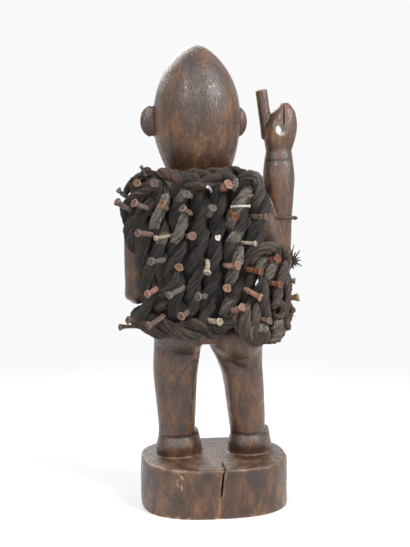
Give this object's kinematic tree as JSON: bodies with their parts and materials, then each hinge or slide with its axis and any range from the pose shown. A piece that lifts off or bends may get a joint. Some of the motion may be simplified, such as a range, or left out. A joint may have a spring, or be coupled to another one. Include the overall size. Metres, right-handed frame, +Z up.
{
  "type": "nail fetish figure",
  "caption": "Standing carved wooden figure on its own base, right arm raised, thick twisted rope over the body and iron nails driven through the rope.",
  "frame": {"origin": "centre of the flat underside of the base", "axes": "+Z up to the crown, the figure faces -Y, its own left side is +X"},
  "size_m": [0.184, 0.1278, 0.451],
  "materials": {
    "wood": "dark brown hand-polished wood with raw wood in the crack and chips",
    "rope": "thick rope twisted from dark dusty cloth, with a few plies of pale knitted cloth",
    "hip_rope": "brown and grey cloth rope with worn light edges",
    "cord": "thin dark cord",
    "wire": "dark rusty wire",
    "nail": "old hand-made iron nails, rusty brown to pinkish grey"
  },
  "bodies": {
    "root": {"figure": "wood", "body_rope": "rope", "hip_rope": "hip_rope", "neck_rope": "rope", "shoulder_cord": "cord", "arm_wire": "wire", "nail_01": "nail", "nail_02": "nail", "nail_03": "nail", "nail_04": "nail", "nail_05": "nail", "nail_06": "nail", "nail_07": "nail", "nail_08": "nail", "nail_09": "nail", "nail_10": "nail", "nail_11": "nail", "nail_12": "nail", "nail_13": "nail", "nail_14": "nail", "nail_15": "nail", "nail_16": "nail", "nail_17": "nail", "nail_18": "nail", "nail_19": "nail", "nail_20": "nail", "nail_21": "nail", "nail_22": "nail", "nail_23": "nail", "nail_24": "nail", "nail_25": "nail", "nail_26": "nail", "nail_27": "nail", "nail_28": "nail", "nail_29": "nail", "nail_30": "nail", "nail_31": "nail", "nail_32": "nail", "nail_33": "nail", "nail_34": "nail", "nail_35": "nail", "nail_36": "nail", "nail_37": "nail", "nail_38": "nail"}
  },
  "joints": []
}
